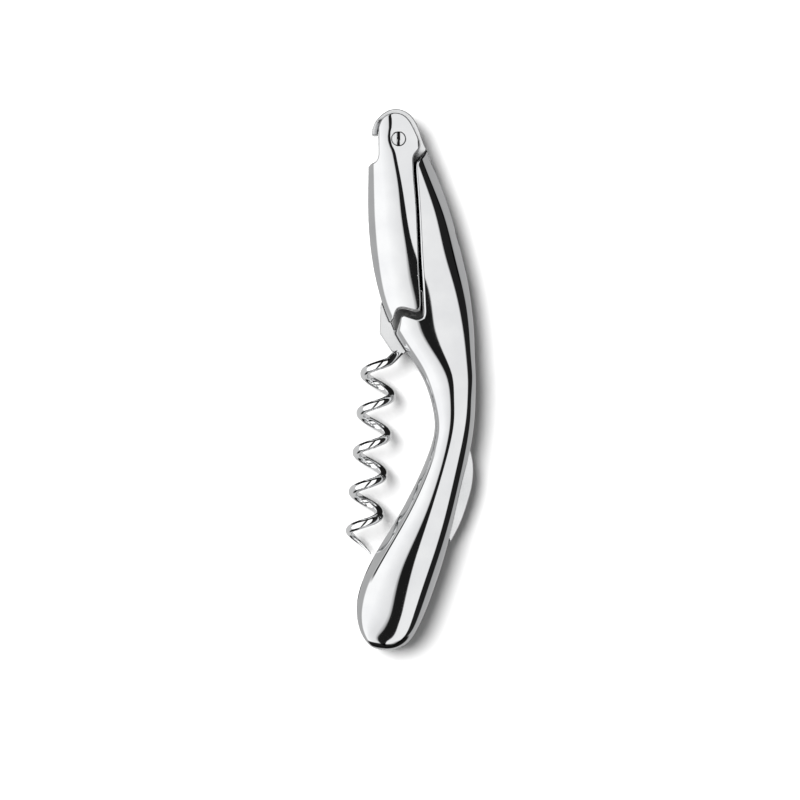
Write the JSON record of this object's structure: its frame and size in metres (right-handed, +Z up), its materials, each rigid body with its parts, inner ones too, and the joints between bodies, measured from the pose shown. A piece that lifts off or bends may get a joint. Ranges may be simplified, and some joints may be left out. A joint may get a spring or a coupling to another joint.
{
  "type": "lever corkscrew",
  "caption": "Folding all-metal lever corkscrew with a wire worm, a foil knife in the back edge and a cap lifter at the lever's pivot.",
  "frame": {"origin": "middle of the box in X and Y, at the flat that the tool lies on", "axes": "+Y along the handle towards the lever's pivot and the cap lifter, +X towards the handle's back edge, +Z up from the flat, square to the tool's sides"},
  "size_m": [0.0302, 0.1254, 0.0129],
  "materials": {
    "mirror_steel": "polished",
    "satin_steel": "satin",
    "spring_steel": "satin"
  },
  "bodies": {
    "handle": {"near_shell": "mirror_steel", "far_shell": "mirror_steel", "core_plate": "satin_steel", "butt_spacer": "satin_steel", "neck_dowels": "satin_steel", "butt_dowels": "satin_steel", "lever_screw": "mirror_steel", "lever_nut": "mirror_steel", "lever_washers": "satin_steel", "worm_pin": "satin_steel", "worm_washers": "satin_steel", "worm_stop_pin": "satin_steel", "knife_pin": "satin_steel", "knife_washers": "satin_steel", "knife_stop_pin": "satin_steel", "back_spring": "spring_steel", "spring_rivet": "satin_steel"},
    "lever": {"lever": "mirror_steel"},
    "worm": {"worm": "mirror_steel", "worm_hub": "mirror_steel"},
    "knife": {"knife_blade": "satin_steel"}
  },
  "joints": [
    {"name": "lever_hinge", "type": "hinge", "parent": "handle", "child": "lever", "pos_m": [-0.00265, 0.0554, 0.0064], "axis": [0, 0, -1], "range_deg": [0, 150]},
    {"name": "worm_hinge", "type": "hinge", "parent": "handle", "child": "worm", "pos_m": [-0.0002, 0.0108, 0.0064], "axis": [0, 0, -1], "range_deg": [0, 84]},
    {"name": "knife_hinge", "type": "hinge", "parent": "handle", "child": "knife", "pos_m": [0.0115, -0.0125, 0.0064], "axis": [0, 0, 1], "range_deg": [0, 150]}
  ]
}
